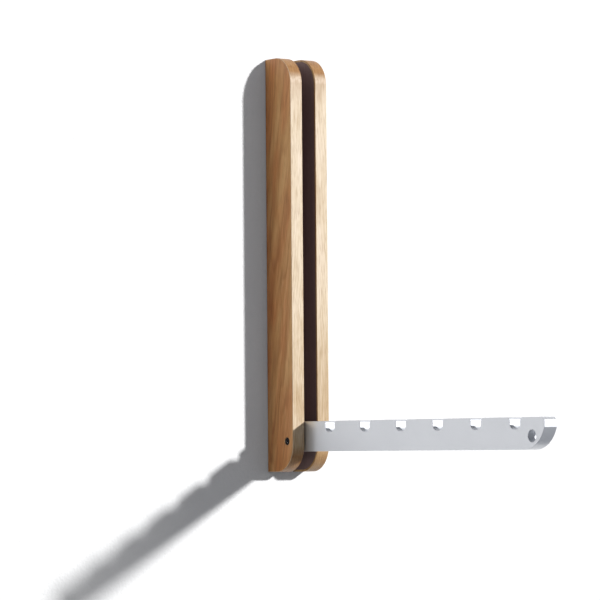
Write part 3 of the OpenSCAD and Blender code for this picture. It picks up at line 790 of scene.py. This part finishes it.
# %% Aluminium finish
def satin_aluminium(name):
    """The bar's finish. Only its roughness and its relief change from place to place."""
    material, tree, in_mm = start_material(name, Metallic=0.78, Base_Color=linear("#d2d4d8"))
    spot = add_node(tree, "SeparateXYZ", {0: in_mm}).outputs
    # draw lines: 0.5 mm apart across the bar, and 90 mm long
    draw_place = add_node(tree, "Mapping", {"Vector": in_mm, "Scale": (1 / 0.5, 1 / 90, 1 / 0.5)})
    draw = add_node(tree, "TexNoise", {"Vector": draw_place, "Scale": 1.0, "Detail": 3.0})
    # blasting grit of 0.25 mm, and clouds of 35 mm where the bath worked unevenly
    grit = add_node(tree, "TexNoise", {"Vector": in_mm, "Scale": 1 / 0.25, "Detail": 2.0})
    cloud = add_node(tree, "TexNoise", {"Vector": in_mm, "Scale": 1 / 35, "Detail": 2.0})
    rough = add_node(tree, "MapRange", {0: cloud, 1: 0.3, 2: 0.7, 3: 0.36, 4: 0.42})
    streaks = add_node(tree, "MapRange", {0: draw, 1: 0.3, 2: 0.7, 3: -0.02, 4: 0.02})
    rough = add_node(tree, "Math", {0: rough, 1: streaks}, operation="ADD")
    milled = add_node(tree, "Math", {0: looks_along(tree)["X"], 1: 0.5}, operation="LESS_THAN")
    # the notches: milled, from just under their floors to just under the top edge, and inwards of
    # the tip
    cut_middle, cut_half = PIVOT_Z + ARM_TOP - NOTCH_DEPTH / 2 - 0.2, NOTCH_DEPTH / 2 + 0.1
    cut = add_node(tree, "Math", {0: spot["Z"], 1: cut_middle, 2: cut_half}, operation="COMPARE")
    cut_from = PIVOT_Y + TIP_Y + FIRST_NOTCH - NOTCH_W / 2 - 2 * MOUTH_R
    inner = add_node(tree, "Math", {0: spot["Y"], 1: cut_from}, operation="GREATER_THAN")
    for part in (inner, milled):
        cut = add_node(tree, "Math", {0: cut, 1: part}, operation="MULTIPLY")
    # the drilled wall of the finger hole lies one radius from the hole's axis
    ray = add_node(tree, "VectorMath", {0: in_mm, 1: (0, HOLE_Y, HOLE_Z)}, operation="SUBTRACT")
    ray = add_node(tree, "VectorMath", {0: ray, 1: (0, 1, 1)}, operation="MULTIPLY")
    ray = add_node(tree, "VectorMath", {0: ray}, operation="LENGTH").outputs["Value"]
    drilled = add_node(tree, "Math", {0: ray, 1: HOLE_R, 2: 0.1}, operation="COMPARE")
    for part, change in ((milled, -0.05), (cut, 0.30), (drilled, 0.26)):
        rough = add_node(tree, "Math", {0: part, 1: change, 2: rough}, operation="MULTIPLY_ADD")
    relief = add_node(tree, "Math", {0: draw, 1: 0.5, 2: grit}, operation="MULTIPLY_ADD")
    link_shader(material, rough, relief, 0.012, 0.7)
    return material


# %% Make the arm
aluminium = satin_aluminium("satin_anodised_aluminium")
weld("arm_bar", arm_patches(), "hanger_arm", "arm", aluminium)

# %% [markdown]
# ## The pivot's two heads
#
# The arm turns on a sleeve nut and screw in black steel. Only the two heads show, sunk just below
# the oak, each with a hexagon socket. Each piece is turned: a profile spun about the pivot's axis.
# The socket is six flat walls, so its rings follow a hexagon instead of a circle.

# %% Turned pieces
ROUND, SOFT_DEGREES = 48, 35
around = np.linspace(0, 2 * math.pi, ROUND, endpoint=False)
rays = np.stack([np.zeros(ROUND), np.cos(around), np.sin(around)], axis=1)


def turned(patches, profile):
    """Spins a profile of (x, radius) rows about the pivot's axis. Neighbouring parts of the
    profile shade as one curve where they meet at less than SOFT_DEGREES."""
    profile = np.asarray(profile, float)
    step = np.diff(profile, axis=0)
    out = np.stack([-step[:, 1], step[:, 0]], axis=1)
    out /= np.linalg.norm(out, axis=1, keepdims=True)
    for i in range(len(step)):
        ends = []
        for j, k in ((i, i - 1), (i + 1, i + 1)):
            soft = 0 <= k < len(step) and out[i] @ out[k] > math.cos(math.radians(SOFT_DEGREES))
            ends.append((profile[j], out[i] + out[k] if soft else out[i]))
        points = np.stack([p[1] * rays + np.array([p[0], *PIVOT]) for p, _ in ends], axis=1)
        outward = np.stack([o[1] * rays + np.array([o[0], 0, 0]) for _, o in ends], axis=1)
        patches.add(points, grid_faces(ROUND, 2, close_rows=True), outward.reshape(-1, 3))


# %% Heads with a socket
SOCKET_FLATS, SOCKET_DEPTH, SOCKET_EASE, SOCKET_FLARE = 2.5, 1.3, 0.15, 1.14
DRILL_POINT, DRILL_CENTRE = 0.35, 0.02
BACK_EASE, RIM_EASE, RIM_STEP = 0.05, 0.35, 0.1


def socket_face(patches, rim):
    """The face of a head with a hexagon socket: a flat ring from the rim to the socket's eased
    edge, the six walls, and a drilled floor. A hexagon's radius is half the width across its flats,
    divided by the cosine of the angle to the nearest flat's middle."""
    six = SOCKET_FLATS / 2 / np.cos((around + math.pi / 6) % (math.pi / 3) - math.pi / 6)[:, None]
    floor_x = HEAD_X - SOCKET_DEPTH
    rings = [(HEAD_X, np.full((ROUND, 1), rim)), (HEAD_X, six * SOCKET_FLARE),
             (HEAD_X - SOCKET_EASE, six), (floor_x, six), (floor_x - DRILL_POINT, six * DRILL_CENTRE)]
    flats = np.round((around + math.pi / 6) // (math.pi / 3)) * math.pi / 3
    wall = -np.stack([np.zeros(ROUND), np.cos(flats), np.sin(flats)], axis=1)
    ahead = np.array([1.0, 0, 0])
    for (x0, r0), (x1, r1), out in zip(rings[:-1], rings[1:], (ahead, wall + ahead, wall, ahead)):
        ends = [rays * r + np.array([x, *PIVOT]) for x, r in ((x0, r0), (x1, r1))]
        out = np.repeat(np.broadcast_to(out, rays.shape), 2, axis=0)
        patches.add(np.stack(ends, axis=1), grid_faces(ROUND, 2, close_rows=True), out)
    centre = (rays * six * DRILL_CENTRE)[:, 1:] + np.array(PIVOT)
    cap(patches, [centre], 0, floor_x - DRILL_POINT, (1, 0, 0))


def head(patches, shaft, radius):
    """A turned head at the end of its shaft, with a sharp back edge and a rounded rim."""
    rows = [(HEAD_BACK, radius - BACK_EASE), (HEAD_BACK + BACK_EASE, radius),
            (HEAD_X - RIM_EASE, radius), (HEAD_X - RIM_STEP, radius - RIM_STEP), (HEAD_X, radius - RIM_EASE)]
    turned(patches, shaft + rows)
    socket_face(patches, radius - RIM_EASE)


# %% Sleeve nut and screw
BARREL_EASE, SHANK_R, THREAD_DEPTH, THREAD_PITCH, THREAD_END = 0.2, 2.0, 0.3, 0.7, 8.5
# a turned surface that ends on the axis is closed by a cap of this radius
POINT_R = 0.03


def pivot_barrel_patches():
    """Sleeve nut: head on the right, a 6 mm shaft to the left cheek, and a 4.1 mm blind bore."""
    patches, bore = Patches(), SHANK_R + RUN_FIT
    head(patches, [(-SINK_X, bore), (-SINK_X, BARREL_R - BARREL_EASE), (BARREL_EASE - SINK_X, BARREL_R),
                   (HEAD_BACK, BARREL_R)], BARREL_HEAD_R)
    bore_end = HEAD_BACK - 1
    turned(patches, [(bore_end, POINT_R), (bore_end, bore), (-SINK_X, bore)])
    cap(patches, [round_hole(*PIVOT, POINT_R)[0]], 0, bore_end, (-1, 0, 0))
    return patches


def pivot_screw_patches():
    """Screw for the sleeve nut, drawn with its head on the right: a shank 4 mm across, with a
    thread for its last 9 mm. There the radius is 1.7 mm plus 0.3 times a triangle wave of the
    turns, x / pitch minus t / 360 degrees, and it is tapered at its end."""
    patches, neck = Patches(), HEAD_BACK - 2.0
    head(patches, [(neck, SHANK_R), (HEAD_BACK, SHANK_R)], SCREW_HEAD_R)
    rows, t = 156, around[None, :]
    x = np.linspace(THREAD_END, neck, rows)[:, None]
    turn = (x / THREAD_PITCH - t / (2 * math.pi)) % 1
    fade = np.clip(np.minimum((x - THREAD_END) / 0.8, (neck - x) / 0.4), 0, 1)
    taper = np.clip(1 - (x - THREAD_END) / 0.5, 0, 1)
    radius = SHANK_R - THREAD_DEPTH * fade * (1 - 2 * np.abs(turn - 0.5)) - THREAD_DEPTH * taper
    grid = np.stack([x + 0 * t, radius * np.cos(t) + PIVOT_Y, radius * np.sin(t) + PIVOT_Z], axis=2)
    outward = np.stack([0 * grid[..., 0], np.cos(t) + 0 * x, np.sin(t) + 0 * x], axis=2)
    patches.add(grid, grid_faces(rows, ROUND, close_columns=True), outward.reshape(-1, 3))
    cap(patches, [grid[0][:, 1:]], 0, THREAD_END, (-1, 0, 0))
    return patches


# %% [markdown]
# ## Black oxide steel
#
# The heads are turned in steel and blacked in a hot bath. The coat is thin, so the metal under it
# still glints, most of all on the rim and on the socket's edge, where it wears first.

# %% Black steel finish, and the pivot
def black_oxide(name):
    """Black coat with bare steel where it has worn through."""
    material, tree, in_mm = start_material(name, Metallic=1.0)
    # the bath leaves mottles of about 0.8 mm
    mottle = add_node(tree, "TexNoise", {"Vector": in_mm, "Scale": 1.2, "Detail": 4.0})
    coat = add_node(tree, "ValToRGB", {0: mottle}, stops=[(0.35, "#222224"), (0.65, "#2f2f33")])
    # bare steel in patches of about 1 mm, only where a surface slants between face and side
    slant = add_node(tree, "Math", {0: looks_along(tree)["X"], 1: 0.6, 2: 0.3}, operation="COMPARE")
    worn = add_node(tree, "TexNoise", {"Vector": in_mm, "Scale": 0.9, "Detail": 3.0})
    worn = add_node(tree, "MapRange", {0: worn, 1: 0.45, 2: 0.55})
    worn = add_node(tree, "Math", {0: worn, 1: slant}, operation="MULTIPLY")
    coat = add_node(tree, "Mix", {0: worn, 6: coat, 7: linear("#a6a4a0")}, data_type="RGBA")
    rough = add_node(tree, "MapRange", {0: mottle, 1: 0.3, 2: 0.7, 3: 0.28, 4: 0.42})
    # turning marks, 0.3 mm apart
    marks = add_node(tree, "TexNoise", {"Vector": in_mm, "Scale": 3.3, "Detail": 1.0})
    link_shader(material, rough, marks, 0.01, 0.5, coat.outputs[2])
    return material


black_steel = black_oxide("black_oxide_steel")
screw_on_left = pivot_screw_patches().mirrored_x()
weld("pivot_sleeve_nut", pivot_barrel_patches(), "body", "pivot_barrel", black_steel)
weld("pivot_socket_screw", screw_on_left, "body", "pivot_screw", black_steel)

# %% [markdown]
# ## The cheek screws
#
# Eight small countersunk wood screws hold the cheeks from behind. They show only on the hook's
# back. A head's face is one height map in rings: flat, with a cross-shaped recess that gets
# shallower outwards. The thread is a ridge that winds round a tapering core.

# %% Wood screws
WOOD_SCREWS, WOOD_SCREW_INSET, WOOD_SCREW_L, WOOD_HEAD_R, WOOD_HEAD_EDGE = 4, 24.0, 18.0, 2.9, 0.08
WOOD_CORE_R, WOOD_THREAD, WOOD_PITCH, WOOD_POINT = 1.05, 0.45, 1.35, 3.0
CROSS_HALF, CROSS_R, CROSS_SLOPE_IN, CROSS_SLOPE_OUT = 0.42, 1.75, 0.16, 0.35


def wood_screw(patches, x, z, steps=40):
    """A screw along -Y from the wall plane. With the depth d below the head's face, the core thins
    to a point over its last 3 mm, and the thread adds a ridge where the turns, d / pitch minus
    t / 360 degrees, are near a half."""
    t = np.linspace(0, 2 * math.pi, steps, endpoint=False)[None, :]
    face_y, last = -0.1, WOOD_SCREW_L - 0.1
    # the head's face: r from the middle to the rim, with the cross recess
    r = np.linspace(0.02, WOOD_HEAD_R - WOOD_HEAD_EDGE, 16)[:, None]
    cross = np.minimum(np.abs(r * np.cos(t)), np.abs(r * np.sin(t)))
    sides = np.clip((CROSS_HALF - cross) / CROSS_SLOPE_IN, 0, 1)
    depth = sides * np.clip((CROSS_R - r) / CROSS_SLOPE_OUT, 0, 1) * (1.3 - 0.45 * r)
    top = np.stack([r * np.cos(t) + x, face_y - depth, r * np.sin(t) + z], axis=2)
    patches.add(top, grid_faces(16, steps, close_columns=True), (0, 1, 0))
    cap(patches, [top[0][:, ::2]], 1, top[0, 0, 1], (0, 1, 0))
    # countersunk cone, core and thread
    d = np.concatenate([[0, WOOD_HEAD_EDGE, 1.4], np.linspace(1.7, last, 150)])[:, None]
    taper = WOOD_SCREW_L - WOOD_POINT
    core = np.interp(d, [0, WOOD_HEAD_EDGE, 1.4, 1.7, 4.5, 5.0, taper, last],
                     [WOOD_HEAD_R - WOOD_HEAD_EDGE, WOOD_HEAD_R, 1.3, 1.25, 1.25, WOOD_CORE_R, 1.0, 0.05])
    ridge = np.clip(1 - np.abs((d / WOOD_PITCH - t / (2 * math.pi)) % 1 - 0.5) / 0.28, 0, 1)
    reach = np.interp(d, [0, 4.5, 5.5, taper, last], [0, 0, WOOD_THREAD, WOOD_THREAD, 0.05])
    radius = core + reach * ridge
    side = np.stack([radius * np.cos(t) + x, face_y - d + 0 * t, radius * np.sin(t) + z], axis=2)
    outward = np.stack([np.cos(t) + 0 * d, 0 * radius, np.sin(t) + 0 * d], axis=2)
    outward[:3, :, 1] = -0.8
    patches.add(side, grid_faces(len(d), steps, close_columns=True), outward.reshape(-1, 3))
    cap(patches, [side[-1][:, ::2]], 1, side[-1, 0, 1], (0, -1, 0))


screw_row = Patches()
screw_x, highest = CHEEK_IN + WALL_T + EAR_W / 2, HALF_H - WOOD_SCREW_INSET
for screw_z in np.linspace(-highest, highest, WOOD_SCREWS):
    wood_screw(screw_row, screw_x, screw_z)
print("wood screws at x", screw_x, "and up to z", highest, "mm")

# %% [markdown]
# ## Zinc-plated steel, bronze and nylon
#
# The screws and the stop pin are bright zinc on steel, a little milky and uneven. The bush and
# the thrust washers are sintered bronze: metal powder pressed and soaked in oil, brown-gold with
# fine dark pores. The quiet sleeve is turned from black nylon, which is matt and slightly waxy.

# %% Small metal and nylon finishes
def small_part_finish(name, light, dark, metallic, smooth, rough, grain_mm, pore_mm, **sockets):
    """A mottled finish with grains of grain_mm, whose colour and roughness change together."""
    material, tree, in_mm = start_material(name, Metallic=metallic, **sockets)
    grain = add_node(tree, "TexNoise", {"Vector": in_mm, "Scale": 1 / grain_mm, "Detail": 5.0})
    colour = add_node(tree, "ValToRGB", {0: grain}, stops=[(0.38, dark), (0.6, light)])
    rough = add_node(tree, "MapRange", {0: grain, 1: 0.35, 2: 0.65, 3: rough, 4: smooth})
    link_shader(material, rough, grain, pore_mm, 0.6, colour.outputs[0])
    return material


zinc = small_part_finish("zinc_plated_steel", "#c9ccd0", "#a9adb3", 1.0, 0.25, 0.42, 1.4, 0.01)
bronze = small_part_finish("sintered_bronze", "#b08a52", "#7d5c34", 1.0, 0.38, 0.6, 0.3, 0.03)
nylon = small_part_finish("black_nylon", "#2a2a2c", "#1f1f21", 0.0, 0.5, 0.62, 0.8, 0.02, IOR=1.53)
dress(["left_thrust_washer", "right_thrust_washer", "pivot_bush"], bronze)
dress(["stop_pin"], zinc)
dress(["stop_sleeve"], nylon)
for name, patches in (("right_cheek", screw_row), ("left_cheek", screw_row.mirrored_x())):
    weld(name + "_wood_screws", patches, "body", name + "_screws", zinc,
         store_facing=False)

# %% [markdown]
# ## The chassis
#
# The chassis is one aluminium extrusion, dyed a dark bronze in the anodising bath. Its shape in
# the exact model is right as it stands, so it only gets its finish: a matt brown metal, nearly
# black in the shade of the slot, with the long die lines that every extrusion carries.

# %% Dark anodised finish
def dark_anodised(name):
    """Dyed metal with die lines, 0.8 mm apart across the section and 200 mm long."""
    material, tree, in_mm = start_material(name, Metallic=0.3)
    die_place = add_node(tree, "Mapping", {"Vector": in_mm, "Scale": (1 / 0.8, 1 / 0.8, 1 / 200)})
    die = add_node(tree, "TexNoise", {"Vector": die_place, "Scale": 1.0, "Detail": 4.0})
    colour = add_node(tree, "ValToRGB", {0: die}, stops=[(0.3, "#7f6a68"), (0.7, "#917a77")])
    rough = add_node(tree, "MapRange", {0: die, 1: 0.3, 2: 0.7, 3: 0.5, 4: 0.6})
    link_shader(material, rough, die, 0.02, 0.6, colour.outputs[0])
    return material


dress(["chassis"], dark_anodised("dark_anodised_aluminium"))
